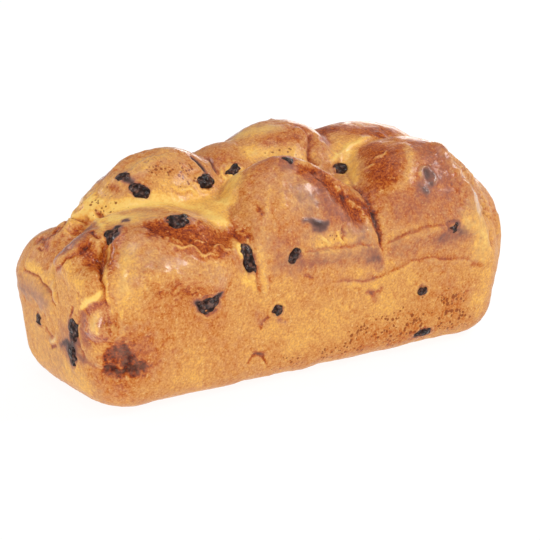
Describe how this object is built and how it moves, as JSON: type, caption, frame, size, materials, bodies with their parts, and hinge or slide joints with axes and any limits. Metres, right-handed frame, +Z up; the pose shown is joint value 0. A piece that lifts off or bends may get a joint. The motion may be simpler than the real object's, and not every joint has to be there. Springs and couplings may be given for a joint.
{
  "type": "chocolate brioche",
  "caption": "Plaited brioche loaf from a flared tin, its crust set with chocolate chunks, standing on its flat base.",
  "frame": {"origin": "middle of the flat base on the surface it stands on", "axes": "+X along the loaf towards its taller, more flared end, -Y out of its front wall, +Z up"},
  "size_m": [0.237, 0.102, 0.1049],
  "materials": {
    "crust": "satin, egg-washed crust, golden on the walls and browner on the lobes",
    "chocolate": "melted and set dark chocolate, glossy"
  },
  "bodies": {
    "root": {"loaf": "crust", "chunk_01": "chocolate", "chunk_02": "chocolate", "chunk_03": "chocolate", "chunk_04": "chocolate", "chunk_05": "chocolate", "chunk_06": "chocolate", "chunk_07": "chocolate", "chunk_08": "chocolate", "chunk_09": "chocolate", "chunk_10": "chocolate", "chunk_11": "chocolate", "chunk_12": "chocolate", "chunk_13": "chocolate", "chunk_14": "chocolate", "chunk_15": "chocolate", "chunk_16": "chocolate", "chunk_17": "chocolate", "chunk_18": "chocolate", "chunk_19": "chocolate", "chunk_20": "chocolate", "chunk_21": "chocolate", "chunk_22": "chocolate", "chunk_23": "chocolate", "chunk_24": "chocolate", "chunk_25": "chocolate", "chunk_26": "chocolate", "chunk_27": "chocolate", "chunk_28": "chocolate"}
  },
  "joints": []
}
